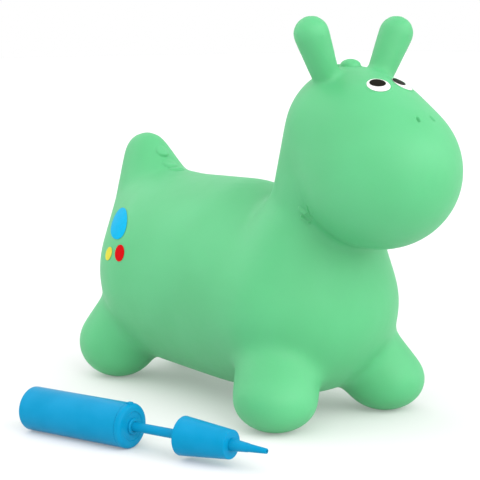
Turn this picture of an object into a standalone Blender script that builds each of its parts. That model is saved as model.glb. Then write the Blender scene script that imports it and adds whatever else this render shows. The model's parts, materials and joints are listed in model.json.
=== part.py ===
"""Blow-up bouncy ride-on animal with its hand pump, in metres, +Z up.

The animal is one hollow moulding of soft plastic, blown up through a valve under its
belly, with printed eyes and rump spots. The pump lies on the floor beside it, its rod
part way out. +X points out of the animal's nose and +Y to its left. The origin is on
the floor, under the middle of the box that holds the animal and the pump.
"""

import math

import bmesh
import bpy
from mathutils import Matrix, Vector

FULL_TURN = 2 * math.pi
SIDES = (-1, 1)

# General clearances and overruns
SEAT_GAP = 0.0003
CUT_OVERRUN = 0.001
MERGE_DISTANCE = 0.00001
MERGE_SHARE = 0.001

# Trunk: three round masses from rump to chest
RUMP_X, RUMP_Z = -0.1666, 0.153
RUMP_LONG, RUMP_WIDE, RUMP_TALL = 0.1217, 0.1254, 0.1298
WAIST_X, WAIST_Z = -0.043, 0.1518
WAIST_LONG, WAIST_WIDE, WAIST_TALL = 0.112, 0.1208, 0.1342
CHEST_X, CHEST_Z = 0.0699, 0.1381
CHEST_LONG, CHEST_WIDE, CHEST_TALL = 0.1088, 0.1244, 0.1124

# Front legs, from the foot up into the chest
FRONT_FOOT_X, FRONT_FOOT_Y, FRONT_FOOT_Z = 0.12, 0.0899, 0.0389
FRONT_FOOT_RADIUS = 0.0525
FRONT_LEG_LEAN, FRONT_LEG_RISE = 0.0339, 0.0568

# Rear legs, from the foot up into the rump
REAR_FOOT_X, REAR_FOOT_Y, REAR_FOOT_Z = -0.245, 0.0665, 0.0485
REAR_FOOT_RADIUS = 0.0555
REAR_LEG_LEAN, REAR_LEG_RISE = 0.0418, 0.0672

# Both pairs of legs
LEG_DRAW_IN_SHARE = 0.6
SOLE_SQUASH = 0.002

# Neck, crown, brow and muzzle
NECK_X, NECK_Z, NECK_RADIUS = 0.0988, 0.2534, 0.0639
CROWN_X, CROWN_Z = 0.1502, 0.3543
CROWN_LONG, CROWN_WIDE, CROWN_TALL = 0.0723, 0.084, 0.0813
BROW_X, BROW_Z = 0.1803, 0.3416
BROW_LONG, BROW_WIDE, BROW_TALL = 0.0803, 0.0861, 0.0854
MUZZLE_X, MUZZLE_Z = 0.199, 0.3139
MUZZLE_LONG, MUZZLE_WIDE, MUZZLE_TALL = 0.1049, 0.0911, 0.0935

# Ears
EAR_ROOT_X, EAR_ROOT_Y, EAR_ROOT_Z, EAR_ROOT_RADIUS = 0.154, 0.0466, 0.4296, 0.0171
EAR_TIP_X, EAR_TIP_Y, EAR_TIP_Z, EAR_TIP_RADIUS = 0.1555, 0.0676, 0.472, 0.021

# Tail, a blunt fin that grows out of the rump
TAIL_ROOT_X, TAIL_ROOT_Z, TAIL_ROOT_LONG, TAIL_ROOT_WIDE = -0.2399, 0.2279, 0.0608, 0.0632
TAIL_TIP_X, TAIL_TIP_Z, TAIL_TIP_LONG, TAIL_TIP_WIDE = -0.2676, 0.2994, 0.0348, 0.0313

# Moulding
WALL = 0.0022
BLEND_VOXEL = 0.0065
BLEND_PASSES = 14
EAR_VOXEL = 0.0045
EAR_PASSES = 4
BALL_SEGMENTS, BALL_RINGS = 40, 24
SKIN_TRIANGLES = 3300

# Crest bumps on the head and down the front of the tail
HEAD_BUMP_X, HEAD_BUMP_RADIUS = 0.1486, 0.0138
NAPE_BUMP_X, NAPE_BUMP_RADIUS = 0.1255, 0.0095
HEAD_BUMP_SINK_SHARE = 0.42
TAIL_BUMP_X, TAIL_BUMP_STEP, TAIL_BUMP_RADIUS = -0.2308, 0.0158, 0.012
TAIL_BUMPS = 3
TAIL_BUMP_SINK_SHARE = 0.6
BUMP_SEGMENTS, BUMP_RINGS = 12, 8

# Nostril dimples
NOSTRIL_X, NOSTRIL_Y, NOSTRIL_Z = 0.2729, 0.0116, 0.3773
NOSTRIL_RADIUS = 0.004
NOSTRIL_DEPTH = 0.0012

# Printed films
FILM = 0.0003
FILM_GAP = 0.0005
FILM_CLEARANCE = 0.0004
FILM_REACH = 0.08
EYE_X, EYE_Y, EYE_Z = 0.2145, 0.0187, 0.4128
EYE_HALF_WIDTH, EYE_HALF_HEIGHT = 0.0148, 0.0138
EYE_PITCH, EYE_YAW, EYE_SLANT = math.radians(63), math.radians(10), math.radians(6)
PUPIL_HALF_WIDTH, PUPIL_HALF_HEIGHT = 0.0102, 0.0072
PUPIL_RISE, PUPIL_DRAW_IN = 0.004, 0.0022
FILM_SEGMENTS, FILM_RINGS = 18, 5

# Rump spots on the right side: place along the body, height, half sizes and lean
SPOT_BLUE_X, SPOT_BLUE_Z, SPOT_BLUE_WIDE, SPOT_BLUE_TALL = -0.1896, 0.2213, 0.0179, 0.0307
SPOT_YELLOW_X, SPOT_YELLOW_Z, SPOT_YELLOW_WIDE, SPOT_YELLOW_TALL = -0.1886, 0.1813, 0.01, 0.0085
SPOT_RED_X, SPOT_RED_Z, SPOT_RED_WIDE, SPOT_RED_TALL = -0.1612, 0.1854, 0.0101, 0.0113
SPOT_BLUE_SLANT, SPOT_YELLOW_SLANT, SPOT_RED_SLANT = math.radians(60), math.radians(41), math.radians(24)

# Valve under the belly
VALVE_X = -0.06
PAD_Z, PAD_RADIUS, PAD_THICKNESS = 0.0178, 0.019, 0.008
SEAT_RADIUS, SEAT_BORE = 0.009, 0.0065
SEAT_FLANGE_RADIUS, SEAT_FLANGE = 0.014, 0.0014
PLUG_HEAD_RADIUS, PLUG_HEAD = 0.0105, 0.0018
PLUG_TIP_RADIUS, PLUG_STEM = 0.0055, 0.012
PLUG_CORE_RADIUS, PLUG_CORE_DEPTH = 0.0035, 0.009
VALVE_STEPS = 24

# Pump barrel, closed and rounded at the end away from the rod
BARREL_RADIUS, BARREL_WALL, BARREL_LENGTH = 0.0257, 0.0018, 0.1465
BARREL_END_ROUND = 0.005
BARREL_NECK_STEP, BARREL_NECK_LENGTH = 0.0012, 0.0045
BARREL_STEPS = 32

# Pump end cap over the barrel's neck
CAP_PROUD, CAP_LENGTH, CAP_FACE = 0.0008, 0.008, 0.0025
CAP_RADIUS = BARREL_RADIUS + CAP_PROUD
CAP_EDGE_ROUND = 0.005
CAP_RING_RADIUS, CAP_RING_STEP = 0.0165, 0.0009
CAP_BOSS_RADIUS, CAP_BOSS = 0.0095, 0.0022
LUG_LONG, LUG_WIDE, LUG_PROUD, LUG_SINK = 0.0055, 0.007, 0.0013, 0.001

# Pump rod, grip and nozzle
ROD_RADIUS, ROD_BORE = 0.0055, 0.003
ROD_CLEARANCE = 0.0005
ROD_SHOWING = 0.0715
ROD_STEPS = 20
GRIP_LENGTH, GRIP_WIDE_RADIUS, GRIP_SMALL_RADIUS = 0.066, 0.0226, 0.0165
GRIP_WALL, GRIP_END, GRIP_EDGE = 0.002, 0.0025, 0.0014
GRIP_SOCKET_WALL, GRIP_SOCKET_DEPTH = 0.0022, 0.014
GRIP_STEPS = 32
NOZZLE_ROOT_RADIUS, NOZZLE_WAIST_RADIUS, NOZZLE_TIP_RADIUS = 0.0072, 0.0051, 0.003
NOZZLE_STEP = 0.0003
SPIGOT_RADIUS = 0.0046
NOZZLE_ROOT_LENGTH, NOZZLE_TIP_LENGTH = 0.022, 0.0245
NOZZLE_BORE, NOZZLE_TIP_EDGE = 0.0016, 0.0006
NOZZLE_STEPS = 20

# Pump piston, its cup seal and its valve
LIP_CLEARANCE = 0.0003
CUP_DEPTH, CUP_WALL, CUP_DRAW = 0.006, 0.0012, 0.0015
PISTON_NECK_RADIUS, PISTON_NUT_RADIUS, PISTON_NUT = 0.008, 0.013, 0.0035
PISTON_PLATE_DRAW, PISTON_PLATE = 0.0012, 0.0035
PISTON_HUB_RADIUS, PISTON_HUB = 0.009, 0.009
PISTON_STEPS = 32
DISC_RADIUS, DISC, DISC_LIFT = 0.0048, 0.001, 0.001
DISC_SEAT_RADIUS = 0.002
RETAINER_HOLE, RETAINER = 0.0022, 0.0012
RETAINER_SLOT = 0.0014
RETAINER_SLOTS = 3
DISC_STEPS = 20

# Where the pump lies, measured from the point on the floor below the animal's middle
PUMP_X, PUMP_Y, PUMP_HEADING = -0.0687, -0.3127, math.radians(16.7)

# Colours, each as (red, green, blue), and roughness
SKIN_GREEN = (0.22, 0.68, 0.33)
PUMP_BLUE = (0.0, 0.37, 0.74)
EYE_WHITE = (0.93, 0.93, 0.9)
PUPIL_DARK = (0.03, 0.025, 0.02)
SPOT_BLUE = (0.0, 0.55, 0.9)
SPOT_YELLOW = (0.9, 0.78, 0.08)
SPOT_RED = (0.78, 0.0, 0.004)
PLUG_WHITE = (0.85, 0.85, 0.83)
SEAL_BLACK = (0.03, 0.03, 0.03)
SOFT, SATIN = 0.55, 0.32


def clear_scene():
    """Remove whatever objects the scene starts with."""
    for obj in list(bpy.data.objects):
        bpy.data.objects.remove(obj, do_unlink=True)


def new_collection(name):
    """A collection of its own in the scene."""
    made = bpy.data.collections.new(name)
    bpy.context.scene.collection.children.link(made)
    return made


clear_scene()
PARTS = new_collection("bouncy_animal_set")
GUIDES = new_collection("cutters_and_guides")


def finish(name, colour, roughness):
    """A Principled material with one colour."""
    made = bpy.data.materials.new(name)
    made.use_nodes = True
    shader = made.node_tree.nodes["Principled BSDF"]
    shader.inputs["Base Color"].default_value = (*colour, 1)
    shader.inputs["Roughness"].default_value = roughness
    shader.inputs["Metallic"].default_value = 0
    return made


def add_object(name, bm, home, material=None):
    """Turn a bmesh into a named object, shaded smooth apart from its sharp edges."""
    mesh = bpy.data.meshes.new(name)
    bm.to_mesh(mesh)
    bm.free()
    mesh.shade_smooth()
    mesh.set_sharp_from_angle(angle=math.radians(35))
    if material:
        mesh.materials.append(material)
    obj = bpy.data.objects.new(name, mesh)
    home.objects.link(obj)
    return obj


def as_guide(obj):
    """Mark an object as a cutter or a guide, which isn't a piece of the toy."""
    obj.hide_render = True
    obj.display_type = "WIRE"
    return obj


def frozen(obj):
    """The object with its modifiers made part of its mesh."""
    seen = obj.evaluated_get(bpy.context.evaluated_depsgraph_get())
    mesh = bpy.data.meshes.new_from_object(seen)
    obj.modifiers.clear()
    obj.data = mesh
    return obj


def joined(obj, other, operation, crossing=False):
    """Add a Boolean with a solid that then moves along. `crossing` says its own balls overlap."""
    other.parent = obj
    step = obj.modifiers.new(f"{operation.lower()} {other.name}", "BOOLEAN")
    step.operation = operation
    step.solver = "EXACT"
    step.use_self = crossing
    step.object = other


def ellipsoid(bm, centre, radii, segments=BALL_SEGMENTS, rings=BALL_RINGS):
    """Add an ellipsoid with its poles up and down."""
    place = Matrix.LocRotScale(Vector(centre), None, Vector(radii))
    made = bmesh.ops.create_uvsphere(bm, u_segments=segments, v_segments=rings, radius=1, matrix=place)
    return made["verts"]


def limb(bm, *balls):
    """Add the skin stretched round some balls, as a closed hull."""
    points = []
    for centre, radii in balls:
        points += ellipsoid(bm, centre, radii)
    old_edges = list({edge for point in points for edge in point.link_edges})
    bmesh.ops.delete(bm, geom=old_edges, context="EDGES_FACES")
    hull = bmesh.ops.convex_hull(bm, input=points)
    inside = [item for item in hull["geom_interior"] if isinstance(item, bmesh.types.BMVert)]
    bmesh.ops.delete(bm, geom=inside, context="VERTS")


def blended(obj, voxel, passes):
    """Melt overlapping hulls into one skin and round the creases between them."""
    remesh = obj.modifiers.new("melt together", "REMESH")
    remesh.mode = "VOXEL"
    remesh.voxel_size = voxel
    soften = obj.modifiers.new("soften", "SMOOTH")
    soften.iterations = passes


def legs(bm):
    """Add the four legs, each a round foot that leans in towards the trunk."""
    pairs = (
        (FRONT_FOOT_X, FRONT_FOOT_Y, FRONT_FOOT_Z, FRONT_FOOT_RADIUS, -FRONT_LEG_LEAN, FRONT_LEG_RISE),
        (REAR_FOOT_X, REAR_FOOT_Y, REAR_FOOT_Z, REAR_FOOT_RADIUS, REAR_LEG_LEAN, REAR_LEG_RISE),
    )
    for x, y, z, radius, lean, rise in pairs:
        for side in SIDES:
            foot = (x, side * y, z), (radius, radius, z + SOLE_SQUASH)
            hip = (x + lean, side * y * LEG_DRAW_IN_SHARE, z + rise), (radius, radius, radius)
            limb(bm, foot, hip)


def trunk_and_head(bm):
    """Add the trunk, neck, head, muzzle and tail."""
    rump = (RUMP_X, 0, RUMP_Z), (RUMP_LONG, RUMP_WIDE, RUMP_TALL)
    waist = (WAIST_X, 0, WAIST_Z), (WAIST_LONG, WAIST_WIDE, WAIST_TALL)
    chest = (CHEST_X, 0, CHEST_Z), (CHEST_LONG, CHEST_WIDE, CHEST_TALL)
    neck = (NECK_X, 0, NECK_Z), (NECK_RADIUS, NECK_RADIUS, NECK_RADIUS)
    crown = (CROWN_X, 0, CROWN_Z), (CROWN_LONG, CROWN_WIDE, CROWN_TALL)
    brow = (BROW_X, 0, BROW_Z), (BROW_LONG, BROW_WIDE, BROW_TALL)
    muzzle = (MUZZLE_X, 0, MUZZLE_Z), (MUZZLE_LONG, MUZZLE_WIDE, MUZZLE_TALL)
    tail_root = (TAIL_ROOT_X, 0, TAIL_ROOT_Z), (TAIL_ROOT_LONG, TAIL_ROOT_WIDE, TAIL_ROOT_LONG)
    tail_tip = (TAIL_TIP_X, 0, TAIL_TIP_Z), (TAIL_TIP_LONG, TAIL_TIP_WIDE, TAIL_TIP_LONG)
    limb(bm, rump, waist)
    limb(bm, waist, chest)
    limb(bm, chest, neck)
    limb(bm, neck, crown)
    limb(bm, crown, brow, muzzle)
    limb(bm, rump, tail_root)
    limb(bm, tail_root, tail_tip)


def ears(bm):
    """Add the two ears, which widen towards their round tips."""
    for side in SIDES:
        root = (EAR_ROOT_X, side * EAR_ROOT_Y, EAR_ROOT_Z), (EAR_ROOT_RADIUS,) * 3
        tip = (EAR_TIP_X, side * EAR_TIP_Y, EAR_TIP_Z), (EAR_TIP_RADIUS,) * 3
        limb(bm, root, tip)


def floor_cutter():
    """A slab just below the floor, which cuts the soles flat."""
    reach = 2 * (MUZZLE_X + MUZZLE_LONG)
    bm = bmesh.new()
    place = Matrix.LocRotScale(Vector((0, 0, -reach / 2)), None, Vector((reach * 2, reach, reach)))
    bmesh.ops.create_cube(bm, size=1, matrix=place)
    return as_guide(add_object("floor_cutter", bm, GUIDES))


def surface_point(form, start, direction):
    """Where a ray meets the outer form, and the surface's normal there."""
    found, point, normal, _ = form.ray_cast(Vector(start), Vector(direction))
    if not found:
        raise ValueError(f"no skin in front of {start}")
    return point, normal


def bumps(form):
    """The crest bumps, as one guide whose balls are sunk in the skin."""
    bm = bmesh.new()
    crest = [
        (HEAD_BUMP_X, HEAD_BUMP_RADIUS, HEAD_BUMP_SINK_SHARE),
        (NAPE_BUMP_X, NAPE_BUMP_RADIUS, HEAD_BUMP_SINK_SHARE),
    ]
    for place in range(TAIL_BUMPS):
        crest.append((TAIL_BUMP_X + place * TAIL_BUMP_STEP, TAIL_BUMP_RADIUS, TAIL_BUMP_SINK_SHARE))
    above = EAR_TIP_Z + EAR_TIP_RADIUS
    for x, radius, sink_share in crest:
        point, normal = surface_point(form, (x, 0, above), (0, 0, -1))
        centre = point - normal * radius * sink_share
        ellipsoid(bm, centre, (radius,) * 3, BUMP_SEGMENTS, BUMP_RINGS)
    return as_guide(add_object("crest_bumps", bm, GUIDES))


def outer_form():
    """The animal's outer surface as a closed skin with no thickness yet."""
    bm = bmesh.new()
    trunk_and_head(bm)
    legs(bm)
    form = add_object("outer_form", bm, GUIDES)
    blended(form, BLEND_VOXEL, BLEND_PASSES)
    frozen(form)

    bm = bmesh.new()
    bm.from_mesh(form.data)
    ears(bm)
    bm.to_mesh(form.data)
    bm.free()
    blended(form, EAR_VOXEL, EAR_PASSES)
    frozen(form)

    thin = form.modifiers.new("fewer faces", "DECIMATE")
    thin.ratio = SKIN_TRIANGLES / sum(len(face.vertices) - 2 for face in form.data.polygons)
    halves = form.modifiers.new("same on both sides", "MIRROR")
    halves.use_axis = (False, True, False)
    halves.use_bisect_axis = (False, True, False)
    halves.merge_threshold = MERGE_DISTANCE
    joined(form, floor_cutter(), "DIFFERENCE")
    frozen(form)
    joined(form, bumps(form), "UNION", crossing=True)
    return as_guide(frozen(form))


def nostrils(form):
    """Two small balls that dent the front of the muzzle."""
    bm = bmesh.new()
    for side in SIDES:
        aim = Vector((MUZZLE_X, 0, MUZZLE_Z)) - Vector((NOSTRIL_X, side * NOSTRIL_Y, NOSTRIL_Z))
        start = Vector((NOSTRIL_X, side * NOSTRIL_Y, NOSTRIL_Z)) - aim
        point, normal = surface_point(form, start, aim)
        centre = point + normal * (NOSTRIL_RADIUS - NOSTRIL_DEPTH)
        ellipsoid(bm, centre, (NOSTRIL_RADIUS,) * 3, BUMP_SEGMENTS, BUMP_RINGS)
    return as_guide(add_object("nostril_cutters", bm, GUIDES))


def cylinder(name, radius, bottom, top):
    """A round cutter about the valve's axis."""
    bm = bmesh.new()
    bmesh.ops.create_cone(
        bm,
        cap_ends=True,
        segments=VALVE_STEPS,
        radius1=radius,
        radius2=radius,
        depth=top - bottom,
        matrix=Matrix.Translation((VALVE_X, 0, (bottom + top) / 2)),
    )
    return as_guide(add_object(name, bm, GUIDES))


def body_skin(form, material):
    """The hollow moulding: a wall inside the outer form, pierced by the valve's hole."""
    skin = form.copy()
    skin.data = form.data.copy()
    skin.name = "body_skin"
    skin.data.name = "body_skin"
    skin.hide_render = False
    skin.display_type = "TEXTURED"
    skin.data.materials.clear()
    skin.data.materials.append(material)
    PARTS.objects.link(skin)
    wall = skin.modifiers.new("wall", "SOLIDIFY")
    wall.thickness = WALL
    wall.offset = -1
    pad_top = PAD_Z + PAD_THICKNESS
    joined(skin, cylinder("valve_pad", PAD_RADIUS, PAD_Z, pad_top), "UNION")
    hole = cylinder("valve_hole", SEAT_RADIUS + SEAT_GAP, PAD_Z - CUT_OVERRUN, pad_top + CUT_OVERRUN)
    joined(skin, hole, "DIFFERENCE")
    joined(skin, nostrils(form), "DIFFERENCE")
    return frozen(skin)


def turned(name, profile, steps, material, closed=True):
    """A turned piece. The profile's (radius, height) points run down its outer side."""
    bm = bmesh.new()
    points = [bm.verts.new((radius, 0, height)) for radius, height in profile]
    for first, second in zip(points, points[1:]):
        bm.edges.new((first, second))
    if closed:
        bm.edges.new((points[-1], points[0]))
    obj = add_object(name, bm, PARTS, material)
    turn = obj.modifiers.new("turn", "SCREW")
    turn.steps = steps
    turn.render_steps = steps
    turn.use_merge_vertices = True
    turn.merge_threshold = MERGE_DISTANCE
    turn.use_normal_calculate = False
    return obj


def arc(radius, height, round_radius, start, end, count=3):
    """Points of a profile's fillet, between two angles in degrees."""
    points = []
    for place in range(count + 1):
        angle = math.radians(start + (end - start) * place / count)
        points.append((radius + round_radius * math.cos(angle), height + round_radius * math.sin(angle)))
    return points


def valve_seat(material):
    """The stiff ring, flanged on both sides of the pad that holds it."""
    bottom = PAD_Z - SEAT_GAP - SEAT_FLANGE
    lower = PAD_Z - SEAT_GAP
    upper = PAD_Z + PAD_THICKNESS + SEAT_GAP
    top = upper + SEAT_FLANGE
    profile = [
        (SEAT_BORE, top),
        (SEAT_FLANGE_RADIUS, top),
        (SEAT_FLANGE_RADIUS, upper),
        (SEAT_RADIUS, upper),
        (SEAT_RADIUS, lower),
        (SEAT_FLANGE_RADIUS, lower),
        (SEAT_FLANGE_RADIUS, bottom),
        (SEAT_BORE, bottom),
    ]
    ring = turned("valve_seat", profile, VALVE_STEPS, material)
    ring.location.x = VALVE_X
    return ring


def valve_plug(material):
    """The stopper, with a hollow stem that gives when it is pressed in."""
    head_top = PAD_Z - 2 * SEAT_GAP - SEAT_FLANGE
    head_bottom = head_top - PLUG_HEAD
    tip = head_top + PLUG_STEM
    core = tip - PLUG_CORE_DEPTH
    profile = [
        (0, core),
        (PLUG_CORE_RADIUS, core),
        (PLUG_CORE_RADIUS, tip),
        (PLUG_TIP_RADIUS, tip),
        (SEAT_BORE - SEAT_GAP, head_top),
        (PLUG_HEAD_RADIUS, head_top),
        (PLUG_HEAD_RADIUS, head_bottom + PLUG_HEAD / 2),
        (PLUG_HEAD_RADIUS - PLUG_HEAD / 2, head_bottom),
        (0, head_bottom),
    ]
    plug = turned("valve_plug", profile, VALVE_STEPS, material, closed=False)
    plug.location.x = VALVE_X
    return plug


def film(name, form, start, aim, half_sizes, slant, lift, material):
    """A printed oval on the skin, `lift` off it square to it, where a ray from `start` meets it."""
    point, facing = surface_point(form, start, aim)
    bm = bmesh.new()
    spoke = [bm.verts.new((ring / FILM_RINGS, 0, 0)) for ring in range(FILM_RINGS + 1)]
    line = [bm.edges.new(pair) for pair in zip(spoke, spoke[1:])]
    bmesh.ops.spin(
        bm,
        geom=spoke + line,
        cent=(0, 0, 0),
        axis=(0, 0, 1),
        angle=FULL_TURN,
        steps=FILM_SEGMENTS,
        use_merge=True,
    )
    bmesh.ops.remove_doubles(bm, verts=bm.verts, dist=MERGE_SHARE)
    across = facing.cross(Vector((0, 0, 1)).cross(facing)).normalized()
    turn = Matrix((across.cross(facing), across, facing)).transposed()
    lay = Matrix.Rotation(slant, 4, facing) @ turn.to_4x4() @ Matrix.Diagonal((*half_sizes, 1, 1))
    bmesh.ops.transform(bm, matrix=Matrix.Translation(point + facing * FILM_REACH) @ lay, verts=bm.verts)
    for vert in bm.verts:
        landing, normal = surface_point(form, vert.co, -facing)
        vert.co = landing + facing * lift / normal.dot(facing)
    bmesh.ops.recalc_face_normals(bm, faces=bm.faces)
    if sum(face.normal.dot(facing) for face in bm.faces) < 0:
        bmesh.ops.reverse_faces(bm, faces=bm.faces)
    oval = add_object(name, bm, PARTS, material)
    ink = oval.modifiers.new("ink", "SOLIDIFY")
    ink.thickness = FILM
    ink.offset = 1
    return oval


def eyes(form, white, dark):
    """Two oval whites that nearly meet, each with a pupil set high in it and inwards."""
    made = []
    eye = (EYE_HALF_WIDTH, EYE_HALF_HEIGHT)
    pupil = (PUPIL_HALF_WIDTH, PUPIL_HALF_HEIGHT)
    level = math.cos(EYE_PITCH)
    rise = math.sin(EYE_PITCH)
    lift = FILM_GAP + FILM + FILM_CLEARANCE
    for side, word in zip(SIDES, ("right", "left")):
        out = Vector((level * math.cos(EYE_YAW), side * level * math.sin(EYE_YAW), rise))
        centre = Vector((EYE_X, side * EYE_Y, EYE_Z)) + out * FILM_REACH
        shift = Vector((-rise, 0, level)) * PUPIL_RISE + Vector((0, -side, 0)) * PUPIL_DRAW_IN
        slant = -side * EYE_SLANT
        made.append(film(f"eye_white_{word}", form, centre, -out, eye, slant, FILM_GAP, white))
        high = centre + shift
        made.append(film(f"pupil_{word}", form, high, -out, pupil, slant, lift, dark))
    return made


def rump_spots(form):
    """One big spot and two small ones on the animal's right flank."""
    blue = SPOT_BLUE_X, SPOT_BLUE_Z, SPOT_BLUE_WIDE, SPOT_BLUE_TALL, SPOT_BLUE_SLANT
    yellow = SPOT_YELLOW_X, SPOT_YELLOW_Z, SPOT_YELLOW_WIDE, SPOT_YELLOW_TALL, SPOT_YELLOW_SLANT
    red = SPOT_RED_X, SPOT_RED_Z, SPOT_RED_WIDE, SPOT_RED_TALL, SPOT_RED_SLANT
    table = (("blue", SPOT_BLUE, blue), ("yellow", SPOT_YELLOW, yellow), ("red", SPOT_RED, red))
    made = []
    for word, colour, (x, z, half_width, half_height, slant) in table:
        ink = finish(f"spot_{word}", colour, SATIN)
        start = Vector((x, -RUMP_WIDE - FILM_REACH, z))
        halves = (half_width, half_height)
        made.append(film(f"spot_{word}", form, start, (0, 1, 0), halves, slant, FILM_GAP, ink))
    return made


def animal():
    """The animal's pieces, built about the floor point below its middle."""
    form = outer_form()
    pieces = [
        body_skin(form, finish("skin_green", SKIN_GREEN, SOFT)),
        valve_seat(finish("seat_green", SKIN_GREEN, SATIN)),
        valve_plug(finish("plug_white", PLUG_WHITE, SATIN)),
    ]
    pieces += eyes(form, finish("eye_white", EYE_WHITE, SATIN), finish("pupil_dark", PUPIL_DARK, SATIN))
    pieces += rump_spots(form)
    return pieces


def pump_barrel(material):
    """The closed cylinder, its mouth stepped in for the cap."""
    inside = BARREL_RADIUS - BARREL_WALL - BARREL_NECK_STEP
    neck = BARREL_RADIUS - BARREL_NECK_STEP
    mouth = BARREL_LENGTH + BARREL_NECK_LENGTH
    inner_curve = BARREL_END_ROUND - BARREL_WALL
    end_round = arc(BARREL_RADIUS - BARREL_END_ROUND, BARREL_END_ROUND, BARREL_END_ROUND, 0, -90)
    inner_round = arc(inside - inner_curve, BARREL_END_ROUND, inner_curve, -90, 0)
    profile = [(0, BARREL_WALL), *inner_round, (inside, mouth), (neck, mouth), (neck, BARREL_LENGTH)]
    profile += [(BARREL_RADIUS, BARREL_LENGTH), *end_round, (0, 0)]
    return turned("pump_barrel", profile, BARREL_STEPS, material, closed=False)


def pump_end_cap(material):
    """The cap: a skirt over the barrel's neck, a stepped face with a boss and a lug on top."""
    skirt = BARREL_LENGTH + SEAT_GAP
    face = BARREL_LENGTH + CAP_LENGTH
    under = face - CAP_FACE
    bore = BARREL_RADIUS - BARREL_NECK_STEP + SEAT_GAP
    hole = ROD_RADIUS + ROD_CLEARANCE
    edge = arc(CAP_RADIUS - CAP_EDGE_ROUND, face - CAP_EDGE_ROUND, CAP_EDGE_ROUND, 90, 0)
    profile = [
        (hole, under),
        (hole, face + CAP_BOSS),
        (CAP_BOSS_RADIUS - CAP_RING_STEP, face + CAP_BOSS),
        (CAP_BOSS_RADIUS, face - CAP_RING_STEP),
        (CAP_RING_RADIUS, face - CAP_RING_STEP),
        (CAP_RING_RADIUS + CAP_RING_STEP, face),
        *edge,
        (CAP_RADIUS, skirt),
        (bore, skirt),
        (bore, under),
    ]
    cap = turned("pump_end_cap", profile, BARREL_STEPS, material)
    bm = bmesh.new()
    out = -CAP_RADIUS - (LUG_PROUD - LUG_SINK) / 2
    middle = Vector((out, 0, skirt + LUG_LONG / 2))
    size = Vector((LUG_PROUD + LUG_SINK, LUG_WIDE, LUG_LONG))
    bmesh.ops.create_cube(bm, size=1, matrix=Matrix.LocRotScale(middle, None, size))
    joined(cap, as_guide(add_object("cap_lug", bm, GUIDES)), "UNION")
    return cap


def cup_bottom():
    """Height of the cup seal's lip, which reaches the barrel's end round as the grip meets the cap."""
    return BARREL_END_ROUND + ROD_SHOWING


def pump_cup_seal(material):
    """A soft cup whose lip points at the barrel's closed end."""
    bottom = cup_bottom()
    top = bottom + CUP_DEPTH
    lip = BARREL_RADIUS - BARREL_WALL - BARREL_NECK_STEP - LIP_CLEARANCE
    waist = lip - CUP_DRAW
    hole = PISTON_NECK_RADIUS + SEAT_GAP
    profile = [
        (hole, top),
        (waist, top),
        (lip, bottom),
        (lip - CUP_WALL, bottom),
        (waist - CUP_WALL, top - CUP_WALL),
        (hole, top - CUP_WALL),
    ]
    return turned("pump_cup_seal", profile, PISTON_STEPS, material)


def piston_heights():
    """Heights of the piston: nut, neck, plate, hub and the top of its hub."""
    neck = cup_bottom() + CUP_DEPTH - CUP_WALL - SEAT_GAP
    plate = neck + CUP_WALL + 2 * SEAT_GAP
    hub = plate + PISTON_PLATE
    return neck - PISTON_NUT, neck, plate, hub, hub + PISTON_HUB


def disc_seat_height():
    """Height of the face that the valve disc rests on."""
    nut, neck, _, _, _ = piston_heights()
    return (nut + neck) / 2


def rod_foot():
    """Height of the rod's lower end, on the retainer ring."""
    return disc_seat_height() + DISC + DISC_LIFT + 3 * SEAT_GAP + RETAINER


def pump_piston(material):
    """The piston: a nut and a plate that hold the cup, and a hub for the rod."""
    nut, neck, plate, hub, top = piston_heights()
    plate_radius = BARREL_RADIUS - BARREL_WALL - BARREL_NECK_STEP - PISTON_PLATE_DRAW
    socket = ROD_RADIUS + SEAT_GAP
    seat = disc_seat_height()
    profile = [
        (socket, top),
        (PISTON_HUB_RADIUS, top),
        (PISTON_HUB_RADIUS, hub),
        (plate_radius, hub),
        (plate_radius, plate),
        (PISTON_NECK_RADIUS, plate),
        (PISTON_NECK_RADIUS, neck),
        (PISTON_NUT_RADIUS, neck),
        (PISTON_NUT_RADIUS, nut),
        (DISC_SEAT_RADIUS, nut),
        (DISC_SEAT_RADIUS, seat),
        (socket, seat),
    ]
    return turned("pump_piston", profile, PISTON_STEPS, material)


def pump_valve_disc(material):
    """The loose disc over the piston's air hole."""
    bottom = disc_seat_height() + SEAT_GAP
    profile = [(0, bottom + DISC), (DISC_RADIUS, bottom + DISC), (DISC_RADIUS, bottom), (0, bottom)]
    return turned("pump_valve_disc", profile, DISC_STEPS, material, closed=False)


def pump_valve_retainer(material):
    """A ring that stops the disc, slotted so that air passes round the lifted disc."""
    top = rod_foot() - SEAT_GAP
    bottom = top - RETAINER
    profile = [(RETAINER_HOLE, top), (ROD_RADIUS, top), (ROD_RADIUS, bottom), (RETAINER_HOLE, bottom)]
    ring = turned("pump_valve_retainer", profile, DISC_STEPS, material)
    bm = bmesh.new()
    for place in range(RETAINER_SLOTS):
        spoke = Matrix.Rotation(FULL_TURN * place / RETAINER_SLOTS, 4, "Z")
        middle = Matrix.Translation((ROD_RADIUS / 2 + RETAINER_SLOT, 0, bottom))
        size = Matrix.Diagonal((ROD_RADIUS, RETAINER_SLOT, RETAINER, 1))
        bmesh.ops.create_cube(bm, size=1, matrix=spoke @ middle @ size)
    joined(ring, as_guide(add_object("retainer_slots", bm, GUIDES)), "DIFFERENCE")
    return ring


def grip_heights():
    """Heights of the grip's wide rim and its small end."""
    rim = BARREL_LENGTH + CAP_LENGTH + ROD_SHOWING
    return rim, rim + GRIP_LENGTH


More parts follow.
